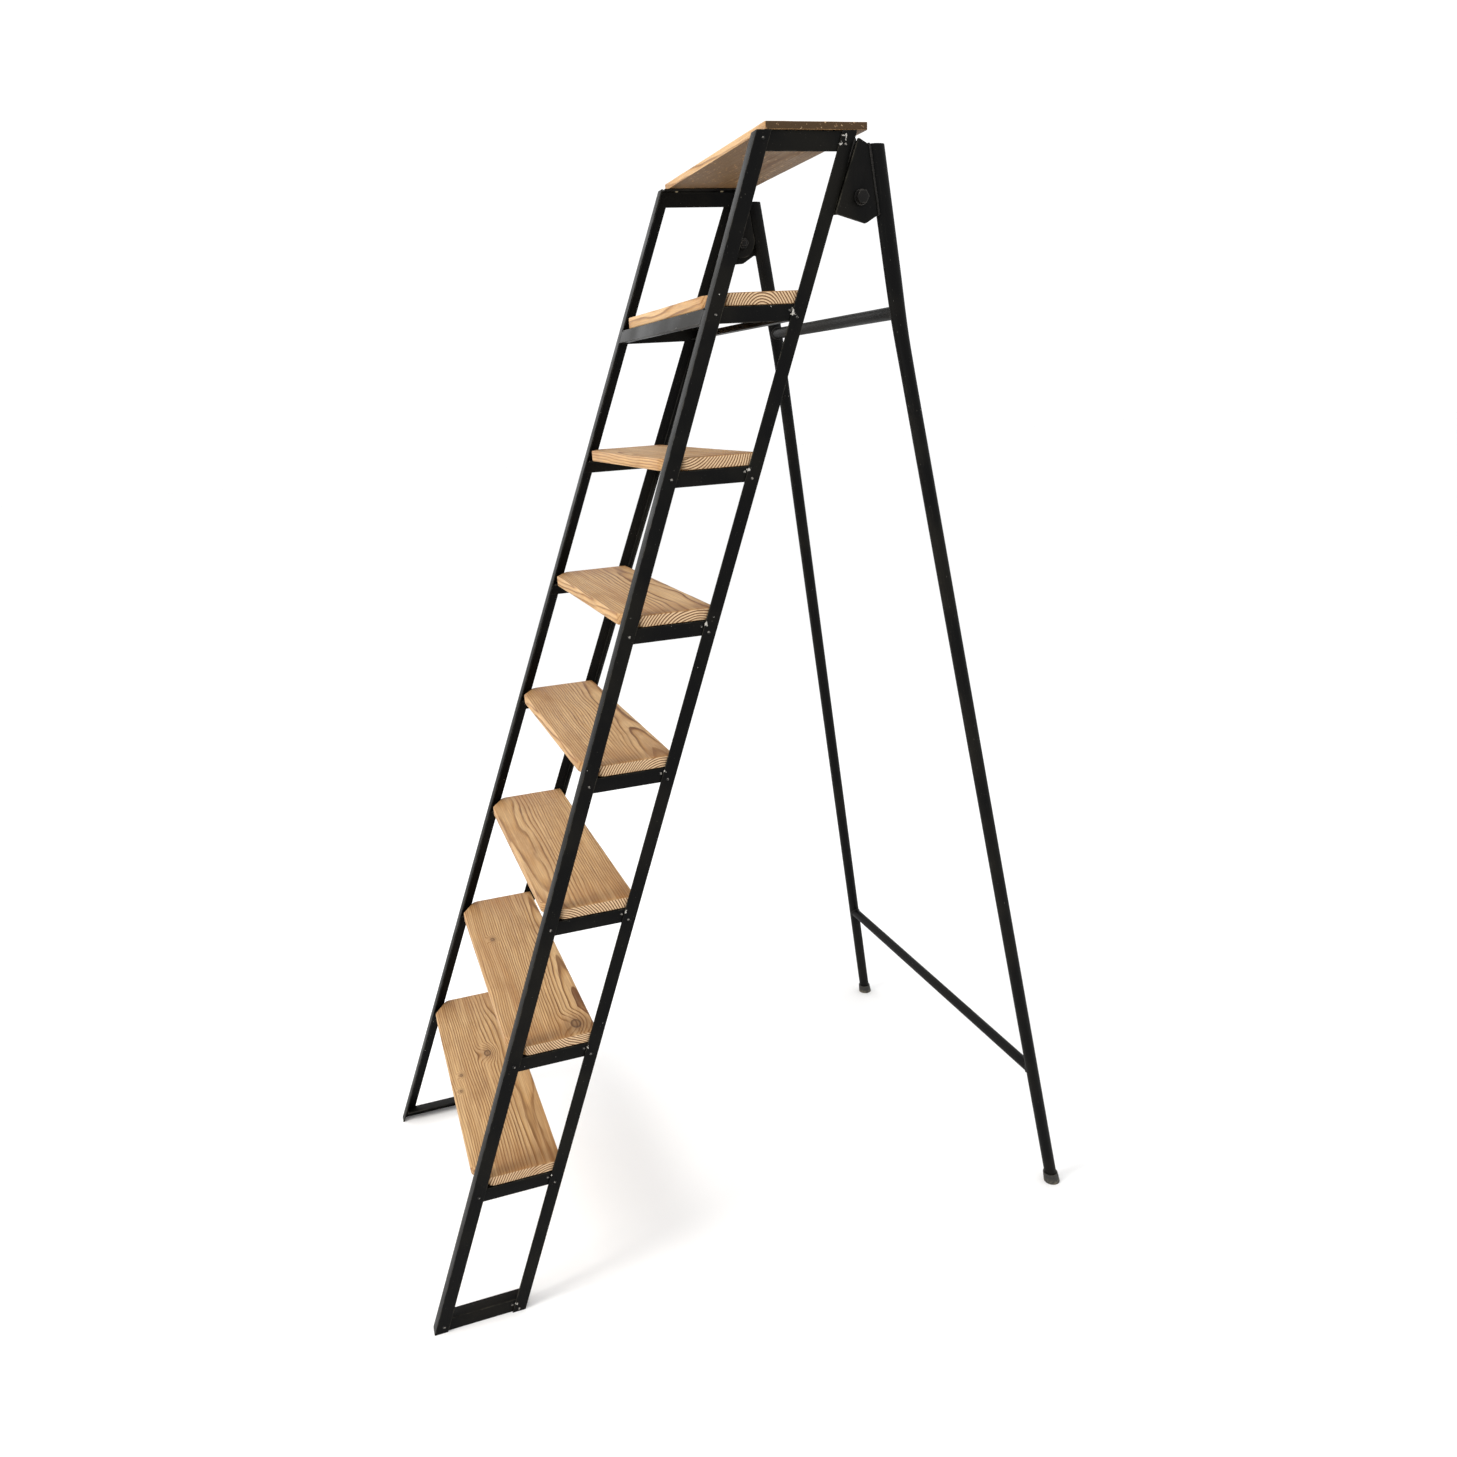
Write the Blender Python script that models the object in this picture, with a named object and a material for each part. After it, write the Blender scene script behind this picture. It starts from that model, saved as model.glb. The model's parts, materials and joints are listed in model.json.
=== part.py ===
"""Folding library ladder: two angle-iron side frames with pine treads, propped by a tube frame.

Metres, +Z up. The climbing side faces -Y, right is +X, and the floor is Z = 0. The origin is on
the floor, midway between the front of the side frames and the back of the prop's feet.
The side frames lean back and narrow towards the top, so they are drawn upright and then sheared:
every cut across a stile stays level with the floor.
"""
import math

import bmesh
import bpy
from mathutils import Matrix, Vector

# ---- driving dimensions -------------------------------------------------------------------
GAP = 0.0003                       # clearance left between touching pieces

FRONT_FOOT_Y = -0.6667             # front face of the side frames at the floor
FRAME_HEIGHT = 2.0386              # top of the side frames
FRAME_DEPTH = 0.1748               # front face to rear face of a side frame, level
HALF_WIDTH_FOOT = 0.3592           # outer face of a side frame at the floor
HALF_WIDTH_TOP = 0.2605            # outer face of a side frame at its top
LEAN = math.radians(20.84)         # the side frames lean back by this much

STILE_LEG = 0.024                  # width of the stiles' angle section
BAR_LEG = 0.0255                   # width of the tread bars' angle section
RAIL_LEG = 0.030                   # height of the top rail
WALL = 0.003                       # thickness of every angle section
HEEL_RADIUS = 0.0007               # outside corner of the angle section
EDGE_RADIUS = 0.0005               # outside edges of its two legs
TOE_RADIUS = 0.0014                # inside edges of its two legs
ROOT_RADIUS = 0.0025               # fillet inside the angle section

TREAD_COUNT = 7
FIRST_TREAD = 0.284                # height of the lowest tread's bar
TREAD_PITCH = 0.250
TREAD_THICK = 0.021
TREAD_SET_BACK = 0.005             # tread's front edge behind the frame's front, at its underside
CORNER_CUT = (0.050, 0.030)        # cut at a tread's front corners: along the edge, along the end
CORNER_ROUND = 0.016
REAR_ROUND = 0.003

BOARD_THICK = 0.012
BOARD_SET_BACK = 0.014
BOARD_OVERHANG = 0.0188            # behind the side frames

CROSS_FRONT_HEIGHT = 0.0235        # cross members under the highest tread
CROSS_REAR_HEIGHT = 0.0145
CROSS_FOOT = 0.0237                # their lower face below the top of that tread's bars
CROSS_LEG = 0.020

PIVOT_Y = 0.2833
PIVOT_Z = 1.940
PROP_LEAN = math.radians(9.45)     # the open prop frame stands out to the rear by this much
LEG_X = 0.2643                     # leg axis above the bend, where the legs are parallel
BEND_Z = 1.740                     # the legs spread apart below this height
BEND_REACH = 0.040                 # the bend is spread over this much above and below
PROP_SPREAD = 0.0974               # how fast they spread, per metre of height
LEG_BEHIND_PIVOT = 0.0439          # leg axis behind the pivot, level, with the prop open
LEG_RADIUS = 0.0125
TUBE_WALL = 0.0015
FLAT_HALF = (0.0095, 0.0150)       # the tube's upper end is flattened to this oval, across and along
FLAT_FROM = 1.840                  # fully flattened above this height
ROUND_FROM = 1.660                 # and round below this one
LEG_TOP = 2.018
LEG_END = 0.005                    # the tube stops this far above the floor, inside its foot
PROP_BAR_RADIUS = 0.011
PROP_BAR_UPPER = 1.765
PROP_BAR_LOWER = 0.275

PLATE = 0.004                      # thickness of the hinge plates and gussets
HINGE_PLATE_OUTER = 0.2608         # outer face of the hinge plate, across the ladder
GUSSET_INNER = 0.2676              # inner face of the gusset, which passes outside the stile
NOSE_RADIUS = 0.0265               # hinge plate's round end about the pivot
BOLT_RADIUS = 0.006
HOLE_RADIUS = 0.0064
HEX_FLATS = 0.019                  # spanner size of the bolt head and nut
HEAD_HEIGHT = 0.0075
NUT_HEIGHT = 0.010
WASHER_RADIUS = 0.012
WASHER_THICK = 0.0025
BOLT_PAST = 0.003                  # the shank stands this far past the nut, and into the head

FOOT_RADIUS_TOP = 0.0150
FOOT_RADIUS_SOLE = 0.0165
FOOT_HEIGHT = 0.022

CUT_PAST = 0.020                   # cutters run this far past the faces they cut

ROUND_SEGMENTS = 32
ARC_SEGMENTS = 5
SECTION_SEGMENTS = 3               # arcs at the corners of the angle sections
LEG_CUTS = 8                       # lengths that a leg is drawn in between its straight ends
SAME_POINT = 1e-6                  # points closer than this are one
SHARP_ANGLE = math.radians(35)     # round pieces are shaded smooth below this angle

# ---- worked out from them -----------------------------------------------------------------
LEAN_SLOPE = math.tan(LEAN)
TAPER = (HALF_WIDTH_FOOT - HALF_WIDTH_TOP) / FRAME_HEIGHT
WALL_LEVEL = WALL / math.cos(LEAN)              # thickness of a leaning wall, measured level
STILE_LEVEL = STILE_LEG / math.cos(LEAN)
PROP_SLOPE = math.tan(PROP_LEAN)
SIDES = {"left": -1, "right": 1}

# name, colour, roughness and metallic value
BLACK = ("black_paint", (0.012, 0.012, 0.013), 0.45, 0.3)
PINE = ("pine", (0.62, 0.40, 0.21), 0.55, 0.0)
ZINC = ("blackened_bolt", (0.05, 0.05, 0.055), 0.35, 0.9)
RUBBER = ("rubber", (0.03, 0.03, 0.03), 0.8, 0.0)


def half_width(z):
    """Outer face of a side frame at height z."""
    return HALF_WIDTH_FOOT - TAPER * z


def front_y(z):
    """Front face of the side frames at height z."""
    return FRONT_FOOT_Y + LEAN_SLOPE * z


def rear_y(z):
    """Rear face of the side frames at height z."""
    return front_y(z) + FRAME_DEPTH


def leg_x(z):
    """Axis of a prop leg, across the ladder, at height z: upright above the bend, spreading below."""
    below = BEND_Z - z
    if abs(below) < BEND_REACH:
        return LEG_X + PROP_SPREAD * (below + BEND_REACH) ** 2 / (4 * BEND_REACH)
    return LEG_X + PROP_SPREAD * max(0.0, below)


def leg_y(z):
    """Axis of a prop leg, along the ladder, at height z."""
    return PIVOT_Y + LEG_BEHIND_PIVOT + PROP_SLOPE * (PIVOT_Z - z)


def leg_half(z):
    """Half the width of a leg's level section at height z, across and along the ladder."""
    flat = min(1.0, max(0.0, (z - ROUND_FROM) / (FLAT_FROM - ROUND_FROM)))
    flat = flat * flat * (3 - 2 * flat)
    across, along = (LEG_RADIUS + flat * (half - LEG_RADIUS) for half in FLAT_HALF)
    return across, along / math.cos(PROP_LEAN)


def leg_front(z, across):
    """Front of a leg at height z, where a plate's face is at this distance across the ladder."""
    half_across, half_along = leg_half(z)
    beside = min(abs(across - leg_x(z)) / half_across, 1.0)
    return leg_y(z) - half_along * math.sqrt(1 - beside * beside) - GAP


# ---- scene helpers ------------------------------------------------------------------------
def clear_scene():
    for old in list(bpy.data.objects):
        bpy.data.objects.remove(old, do_unlink=True)


def new_collection(name):
    group = bpy.data.collections.new(name)
    bpy.context.scene.collection.children.link(group)
    return group


def material(finish):
    name, colour, roughness, metallic = finish
    found = bpy.data.materials.get(name)
    if found:
        return found
    made = bpy.data.materials.new(name)
    made.use_nodes = True
    shader = made.node_tree.nodes["Principled BSDF"]
    shader.inputs["Base Color"].default_value = (*colour, 1.0)
    shader.inputs["Roughness"].default_value = roughness
    shader.inputs["Metallic"].default_value = metallic
    made.diffuse_color = (*colour, 1.0)
    return made


def add_object(name, mesh, finish, location=(0, 0, 0), parent=None, smooth=False):
    """Put a finished mesh in the ladder's collection. The location is a world position."""
    obj = bpy.data.objects.new(name, mesh)
    LADDER.objects.link(obj)
    mesh.materials.append(material(finish))
    if smooth:
        mesh.shade_smooth()
        mesh.set_sharp_from_angle(angle=SHARP_ANGLE)
    obj.location = Vector(location)
    if parent:
        obj.parent = parent
        obj.location -= parent.location
    return obj


def add_cutter(name, mesh, location=(0, 0, 0)):
    obj = bpy.data.objects.new(name, mesh)
    CUTTERS.objects.link(obj)
    obj.location = location
    obj.hide_render = True
    obj.display_type = "WIRE"
    return obj


def boolean(obj, other, operation="DIFFERENCE"):
    cut = obj.modifiers.new(other.name, "BOOLEAN")
    cut.operation = operation
    cut.solver = "EXACT"
    cut.object = other


# ---- shape helpers ------------------------------------------------------------------------
def rounded(points, radii, segments=ARC_SEGMENTS):
    """The outline through points, with each corner turned by an arc of its own radius."""
    outline = []
    count = len(points)
    for index, (corner, radius) in enumerate(zip(points, radii)):
        here = Vector(corner)
        if radius == 0:
            outline.append(here)
            continue
        towards_last = (Vector(points[index - 1]) - here).normalized()
        towards_next = (Vector(points[(index + 1) % count]) - here).normalized()
        half_angle = towards_last.angle(towards_next) / 2
        centre = here + (towards_last + towards_next).normalized() * radius / math.sin(half_angle)
        start = here + towards_last * radius / math.tan(half_angle) - centre
        end = here + towards_next * radius / math.tan(half_angle) - centre
        for step in range(segments + 1):
            outline.append(centre + start.slerp(end, step / segments) * radius)
    return [(p.x, p.y) for p in outline]


def circle(radius, centre=(0, 0), segments=ROUND_SEGMENTS):
    turns = [2 * math.pi * step / segments for step in range(segments)]
    return [(centre[0] + radius * math.cos(t), centre[1] + radius * math.sin(t)) for t in turns]


def plate_mesh(name, outlines, thickness, place=Matrix.Identity(4)):
    """A flat outline with holes, extruded to a thickness about its plane, then placed."""
    curve = bpy.data.curves.new(name, "CURVE")
    curve.dimensions = "2D"
    curve.fill_mode = "BOTH"
    curve.extrude = thickness / 2
    for outline in outlines:
        spline = curve.splines.new("POLY")
        spline.points.add(len(outline) - 1)
        for point, (u, v) in zip(spline.points, outline):
            point.co = (u, v, 0, 1)
        spline.use_cyclic_u = True
    drawn = bpy.data.objects.new(name + "_outline", curve)
    CUTTERS.objects.link(drawn)
    mesh = bpy.data.meshes.new_from_object(drawn.evaluated_get(bpy.context.evaluated_depsgraph_get()))
    bpy.data.objects.remove(drawn)
    mesh.name = name
    shape = bmesh.new()
    shape.from_mesh(mesh)
    bmesh.ops.remove_doubles(shape, verts=shape.verts, dist=SAME_POINT)
    bmesh.ops.transform(shape, matrix=place, verts=shape.verts)
    bmesh.ops.recalc_face_normals(shape, faces=shape.faces)
    shape.to_mesh(mesh)
    shape.free()
    return mesh


def axes(u, v, w, centre=(0, 0, 0)):
    """The matrix that turns an outline's (u, v, thickness) into these three directions."""
    matrix = Matrix.Identity(4)
    for column, direction in enumerate((u, v, w, centre)):
        matrix.col[column].xyz = direction
    return matrix


def lean(side=0):
    """Shear that leans a side frame back, and for side -1 or 1 also narrows it upwards."""
    matrix = Matrix.Identity(4)
    matrix[0][2] = -side * TAPER
    matrix[1][2] = LEAN_SLOPE
    return matrix


def cylinder_mesh(name, start, end, radius_start, radius_end=None, segments=ROUND_SEGMENTS):
    """A closed round bar or cone between two points."""
    start, end = Vector(start), Vector(end)
    run = end - start
    turn = Vector((0, 0, 1)).rotation_difference(run).to_matrix().to_4x4()
    shape = bmesh.new()
    bmesh.ops.create_cone(shape, cap_ends=True, segments=segments, radius1=radius_start,
                          radius2=radius_end or radius_start, depth=run.length,
                          matrix=Matrix.Translation((start + end) / 2) @ turn)
    mesh = bpy.data.meshes.new(name)
    shape.to_mesh(mesh)
    shape.free()
    return mesh


def angle_outline(leg_u, leg_v, wall_u, wall_v):
    """Section of an angle: the heel at the origin, one leg along +u and the other along +v."""
    points = [(0, 0), (leg_u, 0), (leg_u, wall_u), (wall_v, wall_u), (wall_v, leg_v), (0, leg_v)]
    radii = [HEEL_RADIUS, EDGE_RADIUS, TOE_RADIUS, ROOT_RADIUS, TOE_RADIUS, EDGE_RADIUS]
    return rounded(points, radii, SECTION_SEGMENTS)


# ---- side frames --------------------------------------------------------------------------
def build_stile(side_name, front):
    """One stile: an angle with one leg on the frame's side and the other across its edge."""
    side = SIDES[side_name]
    section = angle_outline(STILE_LEG, STILE_LEVEL, WALL_LEVEL, WALL)
    inwards, along = (-side, 0, 0), (0, 1 if front else -1, 0)
    place = lean(side) @ axes(inwards, along, (0, 0, 1), (0, 0, FRAME_HEIGHT / 2))
    name = f"stile_{'front' if front else 'rear'}_{side_name}"
    mesh = plate_mesh(name, [section], FRAME_HEIGHT, place)
    edge = front_y(0) if front else rear_y(0)
    return add_object(name, mesh, BLACK, (side * HALF_WIDTH_FOOT, edge, 0))


def build_side_bar(name, side_name, top, height):
    """A level bar inside the two stiles of a side frame, its upper leg turned inwards."""
    side = SIDES[side_name]
    section = angle_outline(BAR_LEG, height, WALL, WALL)
    length = FRAME_DEPTH - 2 * (WALL_LEVEL + ROOT_RADIUS)
    place = lean(side) @ axes((-side, 0, 0), (0, 0, -1), (0, 1, 0))
    mesh = plate_mesh(name, [section], length, place)
    outer = half_width(top) - WALL - GAP
    return add_object(name, mesh, BLACK, (side * outer, front_y(top) + FRAME_DEPTH / 2, top))


def tread_height(number):
    """Top of the bars under tread 1 (lowest) to 7."""
    return FIRST_TREAD + TREAD_PITCH * (number - 1)


def build_side_frame(side_name):
    build_stile(side_name, front=True)
    build_stile(side_name, front=False)
    build_side_bar(f"bottom_bar_{side_name}", side_name, BAR_LEG, BAR_LEG)
    for number in range(1, TREAD_COUNT + 1):
        build_side_bar(f"tread_bar_{number}_{side_name}", side_name, tread_height(number), BAR_LEG)
    build_side_bar(f"top_rail_{side_name}", side_name, FRAME_HEIGHT, RAIL_LEG)


def build_cross_member(front):
    """An angle across the ladder under the highest tread, between the stiles."""
    name = f"cross_member_{'front' if front else 'rear'}"
    height = CROSS_FRONT_HEIGHT - GAP if front else CROSS_REAR_HEIGHT
    bottom = tread_height(TREAD_COUNT) - CROSS_FOOT
    section = angle_outline(CROSS_LEG, height, WALL, WALL_LEVEL)
    inwards = (0, 1 if front else -1, 0)
    place = lean() @ axes(inwards, (0, 0, 1), (1, 0, 0))
    length = 2 * (half_width(bottom + height) - STILE_LEG - GAP)
    mesh = plate_mesh(name, [section], length, place)
    edge = front_y(bottom) if front else rear_y(bottom)
    return add_object(name, mesh, BLACK, (0, edge, bottom))


# ---- timber -------------------------------------------------------------------------------
def build_tread(number):
    """One pine tread on its two bars, with cut and rounded corners behind the front stiles."""
    underside = tread_height(number) + GAP
    half_length = half_width(underside + TREAD_THICK) - WALL - 2 * GAP
    depth = FRAME_DEPTH - TREAD_SET_BACK - WALL_LEVEL - 2 * GAP
    cut_x, cut_y = CORNER_CUT
    corners = [(half_length, depth), (-half_length, depth), (-half_length, cut_y),
               (cut_x - half_length, 0), (half_length - cut_x, 0), (half_length, cut_y)]
    outline = rounded(corners, [REAR_ROUND] * 2 + [CORNER_ROUND] * 4)
    mesh = plate_mesh(f"tread_{number}", [outline], TREAD_THICK,
                      Matrix.Translation((0, 0, TREAD_THICK / 2)))
    place = (0, front_y(underside) + TREAD_SET_BACK, underside)
    return add_object(f"tread_{number}", mesh, PINE, place)


def build_top_board():
    underside = FRAME_HEIGHT + GAP
    front = front_y(FRAME_HEIGHT) + BOARD_SET_BACK
    depth = rear_y(FRAME_HEIGHT) + BOARD_OVERHANG - front
    corners = [(-HALF_WIDTH_TOP, 0), (HALF_WIDTH_TOP, 0),
               (HALF_WIDTH_TOP, depth), (-HALF_WIDTH_TOP, depth)]
    outline = rounded(corners, [REAR_ROUND] * 4)
    mesh = plate_mesh("top_board", [outline], BOARD_THICK, Matrix.Translation((0, 0, BOARD_THICK / 2)))
    return add_object("top_board", mesh, PINE, (0, front, underside))


# ---- hinge --------------------------------------------------------------------------------
def hinge_plate_outline():
    """Seen from +X, about the pivot: welded to the rear stile, round below the pivot bolt. The leg
    rests on its rear edge when the prop is open."""
    foot, top, rest_top, rest_foot = -0.0235, 0.0855, 0.070, 0.004
    stile_edge = [(rear_y(PIVOT_Z + z) + GAP - PIVOT_Y, z) for z in (foot, top)]
    rest = [(leg_front(PIVOT_Z + z, HINGE_PLATE_OUTER) - PIVOT_Y, z) for z in (rest_top, rest_foot)]
    first, last, steps = math.radians(-12), math.radians(-120), 12
    nose = []
    for step in range(steps + 1):
        turn = first + (last - first) * step / steps
        nose.append((NOSE_RADIUS * math.cos(turn), NOSE_RADIUS * math.sin(turn)))
    return stile_edge + rest + nose


def gusset_outline(side_name):
    """Seen from +X, about the pivot: welded to the prop leg, and level with the stile's rear face
    when open. The two gussets were cut by hand, and their lower edges differ."""
    top, foot, leg_top = 0.0865, -0.0234, 0.0760
    top_round, foot_round, lower_round, leg_round = 0.002, 0.003, 0.006, 0.004
    front = [(rear_y(PIVOT_Z + z) + GAP - PIVOT_Y, z) for z in (top, foot)]
    if side_name == "right":
        lower, leg_foot = [(0.0094, -0.0387)], -0.0254
    else:
        lower, leg_foot = [(-0.0190, -0.0377), (0.0056, -0.0364)], -0.0204
    rear = [(leg_front(PIVOT_Z + z, GUSSET_INNER) - PIVOT_Y, z) for z in (leg_foot, leg_top)]
    radii = [top_round, foot_round] + [lower_round] * len(lower) + [0, leg_round]
    return rounded(front + lower + rear, radii)


def build_plate(name, outline, side, inner, parent=None):
    """A plate that stands across the hinge's axis, with the hole for the pivot bolt."""
    centre = side * (inner + PLATE / 2)
    mesh = plate_mesh(name, [outline, circle(HOLE_RADIUS)], PLATE, axes((0, 1, 0), (0, 0, 1), (1, 0, 0)))
    return add_object(name, mesh, BLACK, (centre, PIVOT_Y, PIVOT_Z), parent)


def along_x(name, side, start, end, radius, segments=ROUND_SEGMENTS):
    """A round or hexagonal bar along the hinge's axis, from start to end across the ladder."""
    return cylinder_mesh(name, (side * start, 0, 0), (side * end, 0, 0), radius, segments=segments)


def ring_mesh(name, outer, hole, thickness):
    return plate_mesh(name, [outer, hole], thickness, axes((0, 1, 0), (0, 0, 1), (1, 0, 0)))


def build_hinge(side_name, prop_pivot):
    """Hinge plate, gusset and the bolt, washers and nut that join them, from outside inwards."""
    side = SIDES[side_name]
    axis = (0, PIVOT_Y, PIVOT_Z)
    hex_radius = HEX_FLATS / math.sqrt(3)
    plate_inner = HINGE_PLATE_OUTER - PLATE
    build_plate(f"hinge_plate_{side_name}", hinge_plate_outline(), side, plate_inner)
    build_plate(f"prop_gusset_{side_name}", gusset_outline(side_name), side, GUSSET_INNER, prop_pivot)

    washer_inner = GUSSET_INNER + PLATE + GAP
    head_inner = washer_inner + WASHER_THICK + GAP
    nut_outer = plate_inner - GAP
    bolt_end = nut_outer - NUT_HEIGHT - BOLT_PAST
    shank = along_x(f"bolt_shank_{side_name}", side, bolt_end, head_inner + BOLT_PAST, BOLT_RADIUS)
    head = along_x(f"pivot_bolt_{side_name}", side, head_inner, head_inner + HEAD_HEIGHT, hex_radius, 6)
    bolt = add_object(f"pivot_bolt_{side_name}", head, ZINC, axis)
    boolean(bolt, add_cutter(f"bolt_shank_{side_name}", shank, axis), "UNION")

    hole = circle(HOLE_RADIUS)
    spacer_thick = GUSSET_INNER - HINGE_PLATE_OUTER - 2 * GAP
    rings = {
        "pivot_washer": (circle(WASHER_RADIUS), washer_inner, WASHER_THICK),
        "pivot_spacer": (circle(WASHER_RADIUS), HINGE_PLATE_OUTER + GAP, spacer_thick),
        "pivot_nut": (circle(hex_radius, segments=6), nut_outer - NUT_HEIGHT, NUT_HEIGHT),
    }
    for ring_name, (outer, inner_face, thickness) in rings.items():
        name = f"{ring_name}_{side_name}"
        mesh = ring_mesh(name, outer, hole, thickness)
        add_object(name, mesh, ZINC, (side * (inner_face + thickness / 2), PIVOT_Y, PIVOT_Z))


# ---- prop frame ---------------------------------------------------------------------------
def on_leg(mesh, side):
    """Move an upright round piece, drawn about the Z axis, onto a leg: its level sections follow
    the leg's axis and are flattened with the tube. Places come out measured from the pivot."""
    bends = [BEND_Z - BEND_REACH, BEND_Z + BEND_REACH, ROUND_FROM, FLAT_FROM]
    lowest, highest = min(bends), max(bends)
    shape = bmesh.new()
    shape.from_mesh(mesh)
    for cut in range(LEG_CUTS + 1):
        height = lowest + (highest - lowest) * cut / LEG_CUTS
        everything = shape.verts[:] + shape.edges[:] + shape.faces[:]
        bmesh.ops.bisect_plane(shape, geom=everything, dist=SAME_POINT,
                               plane_co=(0, 0, height), plane_no=(0, 0, 1))
    for vert in shape.verts:
        x, y, z = vert.co
        across, along = leg_half(z)
        vert.co = (side * leg_x(z) + x * across / LEG_RADIUS,
                   leg_y(z) - PIVOT_Y + y * along / LEG_RADIUS, z - PIVOT_Z)
    shape.to_mesh(mesh)
    shape.free()
    return mesh


def upright(name, foot, top, radius, radius_top=None):
    return cylinder_mesh(name, (0, 0, foot), (0, 0, top), radius, radius_top)


def build_leg(side_name, prop_pivot):
    """A tube, open at its top, with level ends."""
    name = f"prop_leg_{side_name}"
    middle = Matrix.Translation((0, 0, (LEG_END + LEG_TOP) / 2))
    section = [circle(LEG_RADIUS), circle(LEG_RADIUS - TUBE_WALL)]
    mesh = on_leg(plate_mesh(name, section, LEG_TOP - LEG_END, middle), SIDES[side_name])
    return add_object(name, mesh, BLACK, prop_pivot.location, prop_pivot, smooth=True)


def build_foot(side_name, prop_pivot):
    """A rubber foot pushed over the tube, with a level sole."""
    side = SIDES[side_name]
    name = f"prop_foot_{side_name}"
    mesh = on_leg(upright(name, 0, FOOT_HEIGHT, FOOT_RADIUS_SOLE, FOOT_RADIUS_TOP), side)
    foot = add_object(name, mesh, RUBBER, prop_pivot.location, prop_pivot, smooth=True)
    bore_name = f"foot_bore_{side_name}"
    bore = on_leg(upright(bore_name, LEG_END - GAP, FOOT_HEIGHT + CUT_PAST, LEG_RADIUS + GAP), side)
    boolean(foot, add_cutter(bore_name, bore, prop_pivot.location))


def build_prop_bar(name, z, prop_pivot):
    """A round bar between the legs, its ends shaped to the tubes."""
    ends = [(side * leg_x(z), leg_y(z) - PIVOT_Y, z - PIVOT_Z) for side in (-1, 1)]
    mesh = cylinder_mesh(name, *ends, PROP_BAR_RADIUS)
    bar = add_object(name, mesh, BLACK, prop_pivot.location, prop_pivot, smooth=True)
    for side_name, side in SIDES.items():
        cope_name = f"{name}_cope_{side_name}"
        cope = on_leg(upright(cope_name, z - CUT_PAST, z + CUT_PAST, LEG_RADIUS + GAP), side)
        boolean(bar, add_cutter(cope_name, cope, prop_pivot.location))


def build_ladder():
    prop_pivot = bpy.data.objects.new("prop_pivot", None)
    LADDER.objects.link(prop_pivot)
    prop_pivot.location = (0, PIVOT_Y, PIVOT_Z)
    for side_name in SIDES:
        build_side_frame(side_name)
        build_hinge(side_name, prop_pivot)
        build_leg(side_name, prop_pivot)
        build_foot(side_name, prop_pivot)
    build_cross_member(front=True)
    build_cross_member(front=False)
    for number in range(1, TREAD_COUNT + 1):
        build_tread(number)
    build_top_board()
    build_prop_bar("prop_bar_upper", PROP_BAR_UPPER, prop_pivot)
    build_prop_bar("prop_bar_lower", PROP_BAR_LOWER, prop_pivot)


clear_scene()
LADDER = new_collection("library_ladder")
CUTTERS = new_collection("cutters")
build_ladder()
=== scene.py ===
import json
import math
import random

import bmesh
import bpy
from mathutils import Matrix, Vector, noise
from mathutils.bvhtree import BVHTree


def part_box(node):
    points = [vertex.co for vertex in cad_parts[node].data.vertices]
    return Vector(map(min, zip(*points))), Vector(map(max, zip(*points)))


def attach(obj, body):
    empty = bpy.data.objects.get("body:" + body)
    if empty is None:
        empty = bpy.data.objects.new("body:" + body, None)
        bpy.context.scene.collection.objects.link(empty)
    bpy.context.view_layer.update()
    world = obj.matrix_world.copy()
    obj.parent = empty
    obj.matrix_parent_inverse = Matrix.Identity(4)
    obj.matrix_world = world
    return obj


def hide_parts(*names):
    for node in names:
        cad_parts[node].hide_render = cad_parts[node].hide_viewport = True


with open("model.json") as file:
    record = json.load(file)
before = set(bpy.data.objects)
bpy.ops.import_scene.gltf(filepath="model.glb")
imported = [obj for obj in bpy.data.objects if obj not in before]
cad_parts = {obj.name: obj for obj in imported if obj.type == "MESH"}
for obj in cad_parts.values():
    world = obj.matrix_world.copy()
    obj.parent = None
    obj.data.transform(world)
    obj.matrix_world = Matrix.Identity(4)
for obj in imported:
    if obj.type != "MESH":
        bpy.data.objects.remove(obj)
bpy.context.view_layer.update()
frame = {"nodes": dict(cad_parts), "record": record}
NODES = frame["nodes"]
RECORD = frame["record"]
BODY_OF = {node: body for body, members in RECORD["behaviour"]["bodies"].items() for node in members}
SLOT_OF = {piece["node"]: piece["material_slot"] for piece in RECORD["subparts"]}

# ---- sizes, in metres ---------------------------------------------------------------------
SIDES = {"left": -1, "right": 1}
TREADS = [f"tread_{number}" for number in range(1, 8)]
SIDE_LEAN = math.radians(20.84)    # how far the stiles lean back
MERGE = 1e-6                       # corners closer than this are one
SEAM_MERGE = 1e-5                  # and so are the ends of two welded edges
FLAT = math.radians(0.5)           # faces that meet at less than this are one face
SHARP = math.radians(38)           # edges sharper than this stay crisp
EDGE = math.radians(28)            # edges sharper than this are eased

EASE_SEGMENTS = {"steel": 2, "board": 3}
STEEL_EASE = 0.0005                # how far the plates' edges are filed back
TREAD_EASE = 0.0024
BOARD_EASE = 0.0012
FOOT_EASE = 0.0014
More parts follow.
